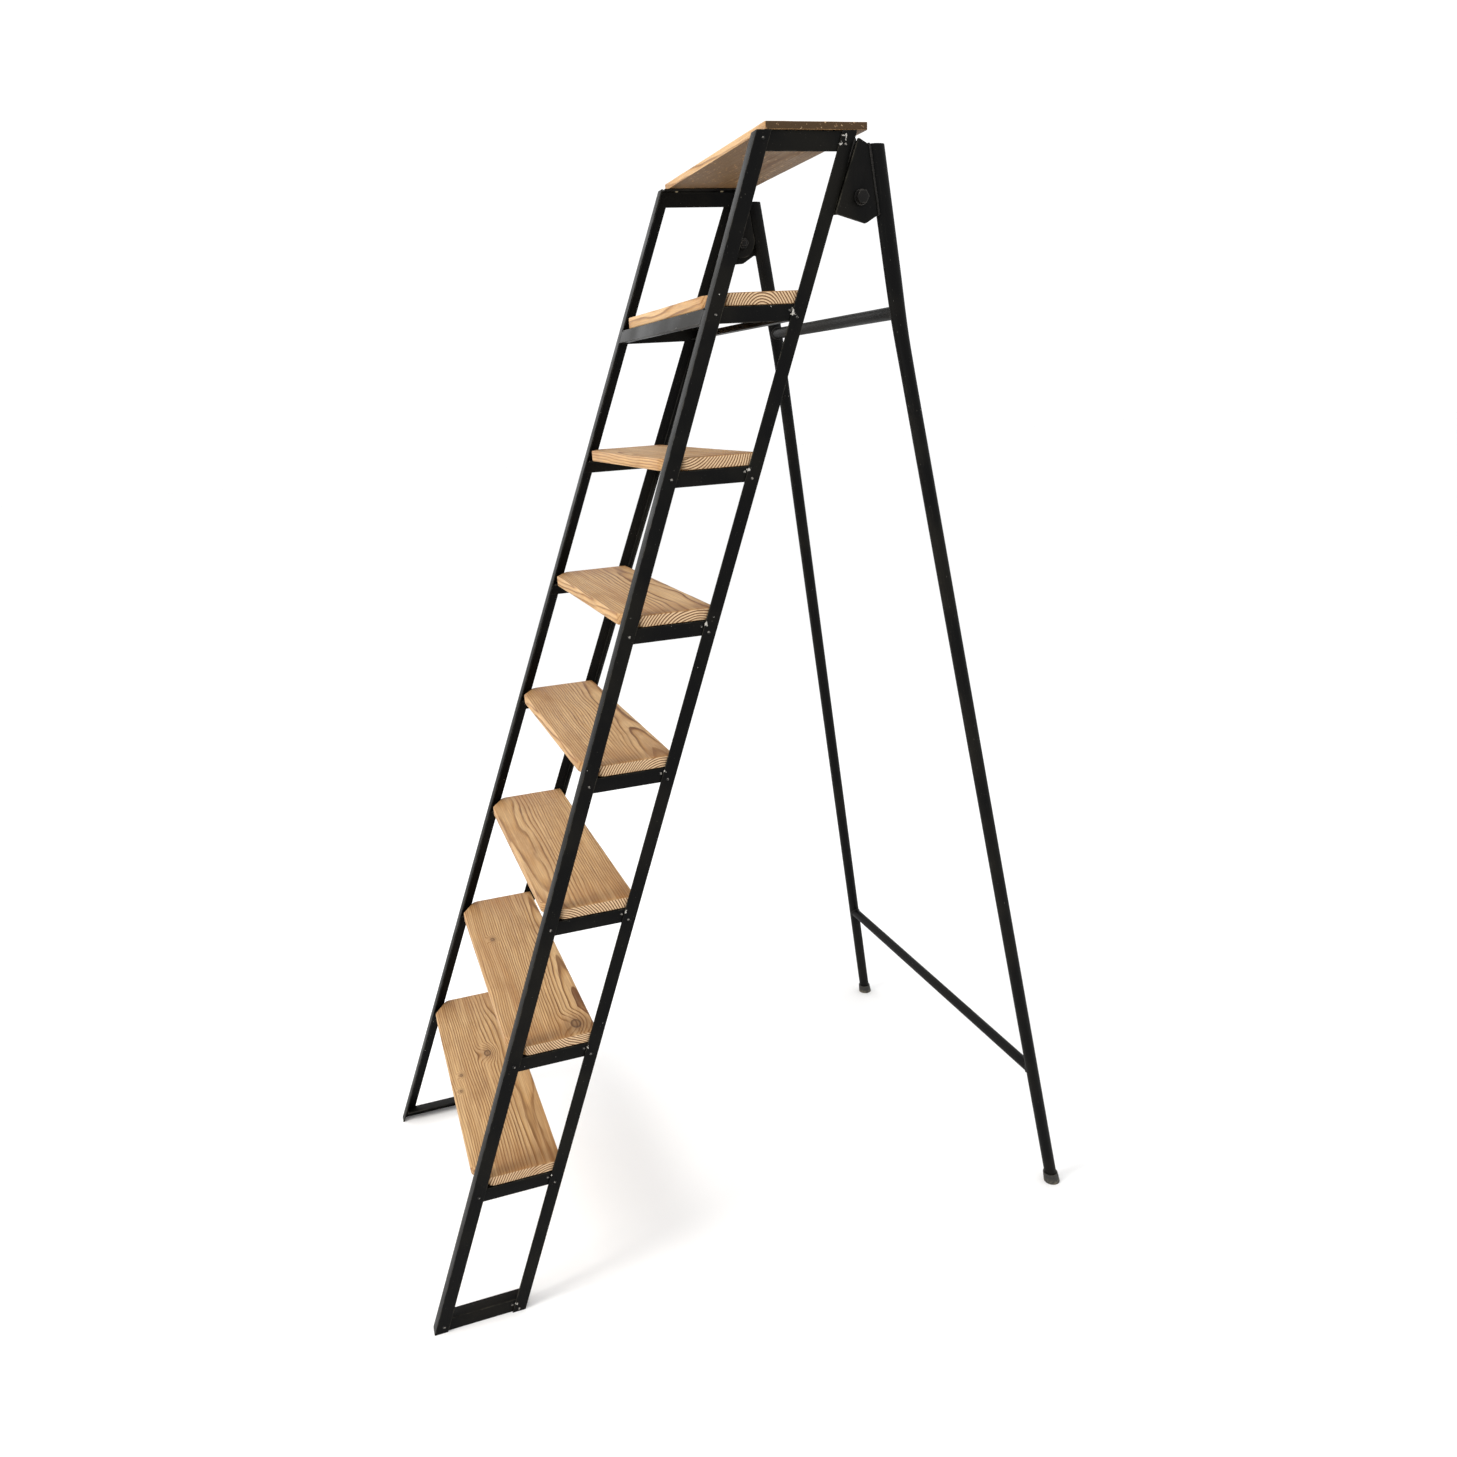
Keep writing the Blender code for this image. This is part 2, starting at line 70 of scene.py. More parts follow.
# How far the edges of the pieces whose names start like this are filed back.
EASED = {"hinge_plate": STEEL_EASE, "prop_gusset": STEEL_EASE, "pivot": STEEL_EASE, "prop_foot": FOOT_EASE}
BOARD_GRID = (0.012, 0.008)        # how finely a board is divided, along and across
FOOTWORN = 0.0011                  # a tread is worn this deep in the middle
FOOTWORN_REACH = (0.17, 0.055)     # how far that hollow spreads, along and across the board
FOOTWORN_FORWARD = 0.02            # and how far it lies in front of the board's middle
RIPPLE = 0.00035                   # how deep a board's unevenness and dents are
RIPPLE_WAVES = (9, 34, 34)         # per metre: along, across and through the board
DENT_WAVES = 31
DENT_SHIFT = Vector((0, 0, 7))
END_FACING = 0.75                  # a face is an end, or an underside, if it faces that way this much

RIVET_RADIUS = 0.0033
RIVET_HEIGHT = 0.0019
SCREW_RADIUS = 0.0042
SCREW_HEIGHT = 0.0024
WELD_RADIUS = 0.0021
WELD_PITCH = 0.0017
# Rivets of each joint: behind the side frame's front face, and below the bar's upper face.
FRONT_RIVET = (0.0150, 0.0120)
BAR_RIVET = (0.1450, 0.0090)
REAR_RIVET = (0.1605, 0.0205)
LOWEST_RIVET = 0.006               # no rivet is nearer the floor than this
SCREW_SPREAD = 0.048               # tread screws are this far either side of a bar's middle
LOOK_UP_FROM = 0.1                 # their places are found from this far below the bar
# The smallest and largest size of a rivet or screw, and of a drop of weld, with their seeds.
HEAD_SCALES, HEAD_SEED = (0.90, 1.10), 4
DROP_SCALES, DROP_SEED = (0.80, 1.15), 9
# An edge that runs this close to the piece beside it is welded to it.
PLATE_SEAM = 0.0006
GUSSET_SEAM = 0.0045
BAR_SEAM = 0.0008
SEAM_TESTS = (0.02, 0.5, 0.98)     # the closeness is tested at these shares of the edge's length

# Chips in the paint: the bar, the side, how far behind the side frame's front and below the bar's
# top they are, and how far they reach.
LARGE_CHIPS = [("top_rail", "right", 0.156, 0.008, 0.012), ("top_rail", "right", 0.151, 0.019, 0.009),
               ("tread_bar_7", "right", 0.150, 0.012, 0.013), ("bottom_bar", "right", 0.151, 0.006, 0.008)]
SMALL_CHIP_BEHIND = 0.151
SMALL_CHIP_BELOW = {"right": 0.005, "left": 0.012}
SMALL_CHIP_REACH = 0.008

RING = 0.0044                      # one year's growth in the timber
RING_WANDER = 0.022                # how far the rings stray from circles, broadly and finely
RING_FLUTTER = 0.00176
KNOT_SWELL = 0.014                 # how far the rings bulge round a knot
LOG_TAPER = 0.016                  # how fast the log narrows, so that rings run out along a board
LOG_HALF = 3                       # a board is sawn from this far either way along its log
TIMBER_SEED = 11
END_SHADE_REACH = 0.110                  # this much of a board at each end is warmer and darker: painted shade from the side frames
TREAD_DARKENINGS = (0.45, 0.0)           # how dark the painted shade under a board is, and how much darker its ends are
BOARD_DARKENINGS = (0.72, 1.0)
# The log's heart, across from and above the middle of each board's end.
HEARTS = {"tread_1": (0.060, -0.050), "tread_2": (0.075, 0.045), "tread_3": (-0.060, -0.055),
          "tread_4": (0.065, -0.048), "tread_5": (0.050, -0.060), "tread_6": (-0.055, 0.050),
          "tread_7": (0.006, -0.022), "top_board": (0.030, -0.045)}
# The tread's number, the knot's place across the ladder and behind the tread's front, its radius.
LARGE_KNOTS = [(2, 0.289, 0.134, 0.0090), (2, -0.118, 0.042, 0.0040), (1, -0.075, 0.090, 0.0070),
               (1, -0.012, 0.024, 0.0028), (1, 0.046, 0.016, 0.0026)]
SMALL_KNOT_CHANCE = 0.4
SMALL_KNOT_RADII = (0.002, 0.0035)
KNOT_FROM_EDGE = 0.02
KNOT_SPREAD = 0.8                  # small knots keep to this share of a board's length


def side_front(z):
    """Front face of the side frames at height z."""
    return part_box("stile_front_right")[0].y + math.tan(SIDE_LEAN) * z


# ---- nodes --------------------------------------------------------------------------------
def feed(tree, socket, value):
    if isinstance(value, bpy.types.NodeSocket):
        tree.links.new(value, socket)
    else:
        socket.default_value = value


def wire(tree, kind, inputs=None, **settings):
    """Add a node of this kind to the tree, and feed its inputs."""
    made = tree.nodes.new(kind)
    for key, value in settings.items():
        setattr(made, key, value)
    for key, value in (inputs or {}).items():
        feed(tree, made.inputs[key], value)
    return made


# A colour Mix node's sockets by their numbers: the kinds of value that it can mix share their names.
MIX_SHARE, MIX_FIRST, MIX_SECOND, MIX_RESULT = 0, 6, 7, 2
# And a Random Value node's, for numbers.
RANDOM_LOWEST, RANDOM_HIGHEST, RANDOM_RESULT = 2, 3, 1


# ---- materials ----------------------------------------------------------------------------
class Finish:
    """One material, with short ways to add its nodes."""

    def __init__(self, name):
        self.material = bpy.data.materials.new(name)
        self.material.use_nodes = True
        self.tree = self.material.node_tree
        self.shader = self.tree.nodes["Principled BSDF"]
        self.place = self.add("ShaderNodeTexCoord").outputs["Object"]

    def add(self, kind, inputs=None, **settings):
        return wire(self.tree, kind, inputs, **settings)

    def attribute(self, name, output="Fac"):
        return self.add("ShaderNodeAttribute", attribute_name=name).outputs[output]

    def maths(self, operation, *values):
        made = self.add("ShaderNodeMath", dict(enumerate(values)), operation=operation)
        return made.outputs[0]

    def times(self, first, second):
        return self.maths("MULTIPLY", first, second)

    def plus(self, first, second):
        return self.maths("ADD", first, second)

    def minus(self, first, second):
        return self.maths("SUBTRACT", first, second)

    def larger(self, first, second):
        return self.maths("MAXIMUM", first, second)

    def vector(self, operation, *values):
        made = self.add("ShaderNodeVectorMath", dict(enumerate(values)), operation=operation)
        return made.outputs["Value" if operation in ("LENGTH", "DOT_PRODUCT") else "Vector"]

    def noise(self, scale, detail=3.0, roughness=0.55, place=None):
        """Smooth noise from 0 to 1. Scale is in waves per metre, along each axis or alike on all."""
        if not isinstance(scale, tuple):
            scale = (scale, scale, scale)
        where = self.vector("MULTIPLY", place or self.place, scale)
        inputs = {"Vector": where, "Scale": 1.0, "Detail": detail, "Roughness": roughness}
        return self.add("ShaderNodeTexNoise", inputs).outputs["Fac"]

    def between(self, value, low, high, to_low=0.0, to_high=1.0):
        """The value's place between low and high, eased, as a number from to_low to to_high."""
        inputs = {"Value": value, "From Min": low, "From Max": high, "To Min": to_low, "To Max": to_high}
        made = self.add("ShaderNodeMapRange", inputs, interpolation_type="SMOOTHSTEP")
        return made.outputs["Result"]

    def blend(self, share, first, second):
        """The first colour where the share is 0, the second where it is 1."""
        inputs = {MIX_SHARE: share, MIX_FIRST: first, MIX_SECOND: second}
        return self.add("ShaderNodeMix", inputs, data_type="RGBA").outputs[MIX_RESULT]

    def ramp(self, value, stops):
        made = self.add("ShaderNodeValToRGB", {"Fac": value})
        colours = made.color_ramp.elements
        while len(colours) < len(stops):
            colours.new(0.5)
        for colour, (place, shade) in zip(colours, stops):
            colour.position = place
            colour.color = shade
        return made.outputs["Color"]

    def edge(self, radius):
        """1 along the piece's outer and inner corners, 0 on its flats."""
        soft = self.add("ShaderNodeBevel", {"Radius": radius}, samples=4).outputs["Normal"]
        hard = self.add("ShaderNodeNewGeometry").outputs["True Normal"]
        return self.minus(1.0, self.vector("DOT_PRODUCT", soft, hard))

    def near(self, spots):
        """1 at each of these spots, given as a place and a reach, falling to 0 at its reach."""
        total = 0.0
        for place, reach in spots:
            away = self.vector("LENGTH", self.vector("SUBTRACT", self.place, tuple(place)))
            total = self.larger(total, self.between(away, 0.0, reach, 1.0, 0.0))
        return total

    def bump(self, height, distance, strength=1.0):
        """Raise the surface by the height, from 0 to 1, times a distance in metres."""
        inputs = {"Height": height, "Distance": distance, "Strength": strength}
        feed(self.tree, self.shader.inputs["Normal"], self.add("ShaderNodeBump", inputs).outputs["Normal"])

    def surface(self, colour, roughness, metallic=0.0, gloss=0.5):
        looks = {"Base Color": colour, "Roughness": roughness,
                 "Metallic": metallic, "Specular IOR Level": gloss}
        for key, value in looks.items():
            feed(self.tree, self.shader.inputs[key], value)


BLACK = (0.0022, 0.0022, 0.0022, 1)
DULL_BLACK = (0.0070, 0.0064, 0.0050, 1)
# Paler edges of the paint: rubbed thin, and a painted highlight.
RUBBED_EDGE_HIGHLIGHT = (0.105, 0.094, 0.070, 1)
DUST = (0.150, 0.140, 0.115, 1)
BARE_STEEL = (0.500, 0.480, 0.440, 1)
FITTING_BLACK = (0.003, 0.003, 0.003, 1)
BOLT_SHINE = (0.009, 0.008, 0.007, 1)
BOLT_STEEL = (0.12, 0.11, 0.10, 1)
RIVET_STEEL = (0.30, 0.28, 0.25, 1)
WELD_SCALE = (0.012, 0.010, 0.008, 1)
DULL_ZINC = (0.16, 0.13, 0.08, 1)
CLEAN_ZINC = (0.42, 0.36, 0.24, 1)
RUBBER_BLACK = (0.012, 0.012, 0.012, 1)
FLOOR_DUST = (0.20, 0.175, 0.12, 1)
FLOOR_DARKEST = (0.90, 0.90, 0.90, 1)
FLOOR_LIGHTEST = (0.93, 0.93, 0.93, 1)


def black_paint(chips):
    """Satin black brushed on steel: rubbed thin along the edges, which are paler with a painted
    highlight too, specked, and chipped off to bright metal at the joints."""
    paint = Finish("black paint")
    patches = paint.noise(7.0, 4.0)
    brushed = paint.noise((260.0, 260.0, 16.0), 3.0)
    grit = paint.noise(900.0, 2.0)
    colour = paint.blend(paint.between(patches, 0.42, 0.68), BLACK, DULL_BLACK)
    colour = paint.blend(paint.between(brushed, 0.50, 0.85, 0.0, 0.25), colour, DULL_BLACK)

    worn_where = paint.noise(46.0, 5.0, 0.65)
    # Paler along the edges: paint rubbed thin, and a painted highlight where light catches them.
    corner = paint.between(paint.edge(0.0022), 0.010, 0.120)
    rubbed = paint.times(corner, paint.between(worn_where, 0.40, 0.66))
    colour = paint.blend(paint.times(rubbed, 0.55), colour, RUBBED_EDGE_HIGHLIGHT)

    specks = paint.between(paint.noise(420.0, 2.0, 0.5), 0.735, 0.77)
    colour = paint.blend(paint.times(specks, 0.5), colour, DUST)

    flaking = paint.times(paint.near(chips), 0.27)
    flaking = paint.plus(paint.noise(150.0, 4.0, 0.6), flaking)
    bare = paint.between(flaking, 0.735, 0.75)
    colour = paint.blend(bare, colour, BARE_STEEL)

    rough = paint.between(patches, 0.3, 0.7, 0.36, 0.52)
    rough = paint.plus(rough, paint.times(grit, 0.08))
    paint.surface(colour, rough, metallic=paint.times(bare, 0.9), gloss=0.08)
    height = paint.plus(paint.times(brushed, 0.5), paint.times(grit, 0.35))
    height = paint.minus(height, paint.times(bare, 0.8))
    paint.bump(height, 0.00022, 0.7)
    return paint.material


def blackened_bolt():
    """Black paint over the fastening, worn to steel on its corners."""
    bolt = Finish("blackened bolt")
    patches = bolt.noise(60.0, 4.0)
    corner = bolt.between(bolt.edge(0.0016), 0.02, 0.16)
    worn = bolt.times(corner, bolt.between(patches, 0.35, 0.6))
    colour = bolt.blend(patches, FITTING_BLACK, BOLT_SHINE)
    colour = bolt.blend(worn, colour, BOLT_STEEL)
    rough = bolt.between(patches, 0.3, 0.7, 0.34, 0.5)
    bolt.surface(colour, rough, metallic=bolt.times(worn, 0.8), gloss=0.12)
    bolt.bump(bolt.noise(700.0, 2.0), 0.00015, 0.6)
    return bolt.material


def rivet_heads():
    """Painted over with the frame, and rubbed back to bright steel on the crown."""
    rivet = Finish("riveted heads")
    crown = rivet.attribute("crown")
    patches = rivet.noise(330.0, 3.0, 0.6)
    high = rivet.plus(crown, rivet.between(patches, 0.3, 0.7, -0.35, 0.25))
    bright = rivet.between(high, 0.72, 0.98)
    colour = rivet.blend(bright, BLACK, RIVET_STEEL)
    rough = rivet.between(patches, 0.3, 0.7, 0.30, 0.48)
    rivet.surface(colour, rough, metallic=rivet.times(bright, 0.85), gloss=0.2)
    rivet.bump(rivet.noise(900.0, 2.0), 0.00012, 0.6)
    return rivet.material


def painted_weld():
    """Black paint over the rough drops of weld."""
    weld = Finish("painted weld")
    scale = weld.noise(240.0, 4.0)
    colour = weld.blend(scale, FITTING_BLACK, WELD_SCALE)
    weld.surface(colour, weld.between(scale, 0.3, 0.7, 0.40, 0.60), gloss=0.2)
    weld.bump(scale, 0.0004, 0.8)
    return weld.material


def screw_heads():
    """Yellowed zinc screws, dulled."""
    screw = Finish("screw heads")
    patches = screw.noise(300.0, 4.0)
    colour = screw.blend(patches, DULL_ZINC, CLEAN_ZINC)
    screw.surface(colour, screw.between(patches, 0.3, 0.7, 0.30, 0.55), metallic=0.9)
    screw.bump(screw.noise(1100.0, 2.0), 0.0001, 0.6)
    return screw.material


def foot_rubber():
    """Matt rubber, dusty where it meets the floor."""
    rubber = Finish("foot rubber")
    dusty = rubber.noise(120.0, 4.0)
    low = rubber.add("ShaderNodeSeparateXYZ", {0: rubber.place}).outputs["Z"]
    ground = rubber.between(low, 0.0, 0.012, 0.9, 0.15)
    share = rubber.times(ground, rubber.between(dusty, 0.35, 0.7))
    colour = rubber.blend(share, RUBBER_BLACK, FLOOR_DUST)
    rubber.surface(colour, rubber.between(dusty, 0.3, 0.7, 0.65, 0.85))
    rubber.bump(rubber.noise(600.0, 3.0), 0.0003, 0.7)
    return rubber.material


EARLY_WOOD = (0.660, 0.440, 0.220, 1)
MID_WOOD = (0.500, 0.285, 0.110, 1)
WARM_WOOD = (0.350, 0.155, 0.045, 1)
LATE_WOOD = (0.120, 0.044, 0.013, 1)
# Pale edges: worn wood, and a painted highlight.
PALE_EDGE_WOOD = (0.720, 0.520, 0.310, 1)
KNOT = (0.090, 0.040, 0.018, 1)
GRIME = (0.215, 0.098, 0.038, 1)
# Painted shade under the boards, and the colour of their darkened ends.
SHADE_AND_DARK_END_WOOD = (0.062, 0.033, 0.012, 1)
# Colours through one year's growth, which runs from 0 to 1: on a board's face, and on its sawn end.
YEAR_ON_FACE = [(0.0, EARLY_WOOD), (0.42, EARLY_WOOD), (0.66, MID_WOOD), (0.80, LATE_WOOD),
                (0.94, LATE_WOOD), (1.0, EARLY_WOOD)]
YEAR_ON_END = [(0.0, (0.86, 0.64, 0.40, 1)), (0.42, (0.78, 0.54, 0.31, 1)), (0.64, (0.12, 0.048, 0.018, 1)),
               (0.90, (0.10, 0.040, 0.016, 1)), (1.0, (0.78, 0.56, 0.34, 1))]
PORE = (0.20, 0.10, 0.045, 1)


def log_radius(wood, in_log):
    """How far a point is from the log's heart: a growth ring is where this is the same."""
    along = wood.add("ShaderNodeSeparateXYZ", {0: in_log}).outputs["X"]
    radius = wood.vector("LENGTH", wood.vector("MULTIPLY", in_log, (0.0, 1.0, 1.0)))
    wander = wood.minus(wood.noise((2.6, 9.0, 9.0), 2.0, 0.5, in_log), 0.5)
    flutter = wood.minus(wood.noise((9.0, 60.0, 60.0), 3.0, 0.5, in_log), 0.5)
    radius = wood.plus(radius, wood.times(along, LOG_TAPER))
    radius = wood.plus(radius, wood.times(wander, RING_WANDER))
    return wood.plus(radius, wood.times(flutter, RING_FLUTTER))


def round_knots(wood, radius, knots):
    """The radius with the rings bulging round the knots, then how much a point lies in a knot's
    dark core, and how much in the halo about it."""
    core = 0.0
    halo = 0.0
    for place, size in knots:
        off = wood.vector("SUBTRACT", wood.place, tuple(place))
        away = wood.vector("LENGTH", wood.vector("MULTIPLY", off, (0.62 / size, 1 / size, 0.12 / size)))
        radius = wood.plus(radius, wood.between(away, 0.0, 4.5, KNOT_SWELL, 0.0))
        heart = wood.between(away, 0.45, 0.95, 0.35, 1.0)
        heart = wood.times(heart, wood.between(away, 0.95, 1.20, 1.0, 0.0))
        core = wood.larger(core, heart)
        halo = wood.larger(halo, wood.between(away, 0.9, 3.4, 1.0, 0.0))
    return radius, core, halo


def ring_colours(wood, in_log, year, phase):
    """Pale and dark growth through each year, no two years alike, with warmer bands."""
    number = wood.maths("FLOOR", year)
    yearly = wood.add("ShaderNodeTexWhiteNoise", {"W": number}, noise_dimensions="1D").outputs["Value"]
    strength = wood.between(wood.noise((3.0, 14.0, 14.0), 3.0, 0.5, in_log), 0.3, 0.7, 0.62, 1.0)
    strength = wood.times(strength, wood.between(yearly, 0.0, 1.0, 0.66, 1.0))
    colour = wood.blend(strength, MID_WOOD, wood.ramp(phase, YEAR_ON_FACE))
    bands = wood.noise((1.6, 22.0, 22.0), 3.0, 0.55, in_log)
    colour = wood.blend(wood.between(bands, 0.48, 0.74, 0.0, 0.50), colour, WARM_WOOD)
    # Painted shade: warmer and darker towards each end of the board, where the side frames shade it.
    painted_end_shade = wood.times(wood.attribute("painted_end_shade"), wood.between(bands, 0.25, 0.6, 0.30, 0.75))
    return wood.blend(painted_end_shade, colour, WARM_WOOD)


def add_fibres(wood, in_log, fibres, colour):
    """Fine dark fibres and broader pale streaks, along the grain."""
    streaks = wood.noise((3.0, 90.0, 90.0), 4.0, 0.6, in_log)
    colour = wood.blend(wood.between(fibres, 0.35, 0.75, 0.42, 0.0), colour, LATE_WOOD)
    return wood.blend(wood.between(streaks, 0.45, 0.75, 0.0, 0.45), colour, EARLY_WOOD)


def end_grain(wood, in_log, phase):
    """A sawn end: the rings are sharper and paler between, with open pores."""
    pores = wood.noise((30.0, 900.0, 900.0), 2.0, 0.6, in_log)
    pores = wood.between(pores, 0.35, 0.7, 0.35, 0.0)
    return wood.blend(pores, wood.ramp(phase, YEAR_ON_END), PORE)


def grime_wear_and_painted_light(wood, colour, dirty, grime):
    """Grimy in patches; pale along the edges, worn by feet and with a painted highlight on them; painted
    shade on the undersides, and darker on the ends that are set to darken.
    """
    colour = wood.blend(dirty, colour, GRIME)
    corner = wood.between(wood.edge(0.0035), 0.02, 0.25)
    # Paler along the edges: wood worn by feet, and a painted highlight where light catches the front edges.
    worn_and_lit_edge = wood.times(corner, wood.between(grime, 0.35, 0.65, 0.70, 0.20))
    colour = wood.blend(worn_and_lit_edge, colour, PALE_EDGE_WOOD)
    kept = wood.between(wood.noise((70.0, 160.0, 160.0), 4.0, 0.6), 0.60, 0.66, 1.0, 0.25)
    # Painted shade on the undersides, and the ends darker where the board is set so, in patches.
    return wood.blend(wood.times(wood.attribute("painted_shade_dark_ends"), kept), colour, SHADE_AND_DARK_END_WOOD)


def pine(knots):
    """Oiled pine. Its growth rings are circles about the log's heart, so that they run as arches on a
    board's face and as arcs on its sawn end. Each knot is a place and a radius."""
    wood = Finish("oiled pine")
    in_log = wood.attribute("log_place", "Vector")
    radius, core, halo = round_knots(wood, log_radius(wood, in_log), knots)
    year = wood.maths("DIVIDE", radius, RING)
    phase = wood.maths("FRACT", year)
    fibres = wood.noise((14.0, 620.0, 620.0), 3.0, 0.6, in_log)

    colour = add_fibres(wood, in_log, fibres, ring_colours(wood, in_log, year, phase))
    colour = wood.blend(wood.times(halo, 0.35), colour, LATE_WOOD)
    colour = wood.blend(wood.times(core, 0.85), colour, KNOT)
    end_cut = wood.times(wood.attribute("end_cut"), 0.95)
    colour = wood.blend(end_cut, colour, end_grain(wood, in_log, phase))
    grime = wood.noise((6.0, 11.0, 11.0), 5.0, 0.62)
    dirty = wood.between(grime, 0.50, 0.76, 0.0, 0.40)
    colour = grime_wear_and_painted_light(wood, colour, dirty, grime)

    rough = wood.plus(wood.between(fibres, 0.3, 0.7, 0.50, 0.66), wood.times(dirty, 0.25))
    wood.surface(colour, rough, gloss=0.22)
    relief = wood.plus(wood.between(phase, 0.55, 0.9), wood.times(fibres, 0.9))
    wood.bump(wood.minus(relief, wood.times(core, 0.8)), 0.00035, 0.75)
    return wood.material


def floor_finish():
    """A plain pale floor, very slightly uneven."""
    floor = Finish("pale floor")
    tone = floor.noise(1.6, 3.0)
    floor.surface(floor.blend(tone, FLOOR_DARKEST, FLOOR_LIGHTEST), 0.9)
    return floor.material


# ---- pieces made over a CAD node ----------------------------------------------------------
def merged(node):
    """The node's mesh with its loose triangles joined up again into whole faces."""
    shape = bmesh.new()
    shape.from_mesh(NODES[node].data)
    bmesh.ops.remove_doubles(shape, verts=shape.verts, dist=MERGE)
    bmesh.ops.dissolve_limit(shape, angle_limit=FLAT, verts=shape.verts, edges=shape.edges)
    return shape


def sharp_edges(shape):
    return [edge for edge in shape.edges if edge.is_manifold and edge.calc_face_angle(0) > EDGE]


def ease_edges(shape, width, segments):
    bmesh.ops.bevel(shape, geom=sharp_edges(shape), offset=width, offset_type="OFFSET",
                    segments=segments, profile=0.5, affect="EDGES", clamp_overlap=True)


def add_piece(name, mesh, body):
    piece = bpy.data.objects.new(name, mesh)
    bpy.context.scene.collection.objects.link(piece)
    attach(piece, body)
    return piece


def mesh_of(name, shape, material):
    mesh = bpy.data.meshes.new(name)
    shape.to_mesh(mesh)
    shape.free()
    mesh.materials.append(material)
    mesh.shade_smooth()
    mesh.set_sharp_from_angle(angle=SHARP)
    return mesh


def stand_for(node, name, mesh):
    piece = add_piece(name, mesh, BODY_OF[node])
    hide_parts(node)


def finish_steel(node, material, ease):
    """The same piece with its edges filed back, and its round faces smooth."""
    shape = merged(node)
    if ease:
        ease_edges(shape, ease, EASE_SEGMENTS["steel"])
    stand_for(node, f"{node}_finished", mesh_of(f"{node}_finished", shape, material))


def cut_in_strips(shape, low, high):
    """Divide a board along and across, so that its faces can be worn."""
    for axis, step in enumerate(BOARD_GRID):
        across = Vector([1.0 if axis == other else 0.0 for other in range(3)])
        count = int((high[axis] - low[axis]) / step)
        for number in range(1, count):
            place = low + (high - low) * number / count
            everything = shape.verts[:] + shape.edges[:] + shape.faces[:]
            bmesh.ops.bisect_plane(shape, geom=everything, dist=MERGE, plane_co=place, plane_no=across)


def wear_board(shape, centre, hollow):
    """Dished where feet land, and a little uneven all over, always inwards."""
    shape.normal_update()
    reach_x, reach_y = FOOTWORN_REACH
    moves = []
    for vert in shape.verts:
        from_middle = (vert.co.x - centre.x) / reach_x
        from_hollow = (vert.co.y - centre.y + FOOTWORN_FORWARD) / reach_y
        dish = math.exp(-from_middle ** 2 - from_hollow ** 2)
        uneven = 0.5 + 0.5 * noise.noise(vert.co * Vector(RIPPLE_WAVES))
        dent = 0.5 + 0.5 * noise.noise(vert.co * DENT_WAVES + DENT_SHIFT)
        depth = RIPPLE * uneven + RIPPLE * dent * dent + hollow * dish * max(0.0, vert.normal.z)
        moves.append((vert, vert.normal * depth))
    for vert, move in moves:
        vert.co -= move


def saw_board(node, name, material, ease, hollow, darkenings, rng):
    """A board sawn from its own place in a log: the heart lies above or below it. Darkenings are how
    dark the painted shade on its underside is, and how much darker its ends are."""
    painted_shade_below, end_darkening = darkenings
    low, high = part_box(node)
    centre = (low + high) / 2
    shape = merged(node)
    ease_edges(shape, ease, EASE_SEGMENTS["board"])
    cut_in_strips(shape, low, high)
    wear_board(shape, centre, hollow)
    mesh = mesh_of(name, shape, material)

    heart = Vector((rng.uniform(-LOG_HALF, LOG_HALF), *HEARTS[node]))
    turned = rng.choice((-1, 1))
    log_place = mesh.attributes.new("log_place", "FLOAT_VECTOR", "POINT")
    for vert, entry in zip(mesh.vertices, log_place.data):
        off = vert.co - centre
        entry.vector = Vector((off.x * turned, off.y, off.z)) - heart
    # Painted shade at each end of the board: 1 at the end, 0 from this far in.
    painted_end_shade = mesh.attributes.new("painted_end_shade", "FLOAT", "POINT")
    for vert, entry in zip(mesh.vertices, painted_end_shade.data):
        entry.value = max(0.0, 1 - (high.x - abs(vert.co.x)) / END_SHADE_REACH)
    end_cut = mesh.attributes.new("end_cut", "FLOAT", "FACE")
    painted_shade_dark_ends = mesh.attributes.new("painted_shade_dark_ends", "FLOAT", "FACE")
    for face, end, darkening_entry in zip(mesh.polygons, end_cut.data, painted_shade_dark_ends.data):
        end.value = 1.0 if abs(face.normal.x) > END_FACING else 0.0
        # Painted shade on the underside; the ends darker by the given share.
        darkening_entry.value = painted_shade_below if face.normal.z < -END_FACING else end_darkening * end.value
    stand_for(node, name, mesh)


# ---- pieces made with Geometry Nodes ------------------------------------------------------
def new_tree(name, sizes):
    """A geometry tree with an input for each of these sizes, and one for its material."""
    tree = bpy.data.node_groups.new(name, "GeometryNodeTree")
    tree.interface.new_socket("Geometry", in_out="INPUT", socket_type="NodeSocketGeometry")
    for size in sizes:
        tree.interface.new_socket(size, in_out="INPUT", socket_type="NodeSocketFloat")
    tree.interface.new_socket("Material", in_out="INPUT", socket_type="NodeSocketMaterial")
    tree.interface.new_socket("Geometry", in_out="OUTPUT", socket_type="NodeSocketGeometry")
    return tree


def close_tree(tree, instances, material):
    real = wire(tree, "GeometryNodeRealizeInstances", {"Geometry": instances}).outputs["Geometry"]
    real = wire(tree, "GeometryNodeSetShadeSmooth", {"Geometry": real}).outputs["Geometry"]
    done = wire(tree, "GeometryNodeSetMaterial", {"Geometry": real, "Material": material}).outputs["Geometry"]
    wire(tree, "NodeGroupOutput", {"Geometry": done})


def random_scale(tree, scales, seed):
    low, high = scales
    inputs = {RANDOM_LOWEST: low, RANDOM_HIGHEST: high, "Seed": seed}
    return wire(tree, "FunctionNodeRandomValue", inputs, data_type="FLOAT").outputs[RANDOM_RESULT]


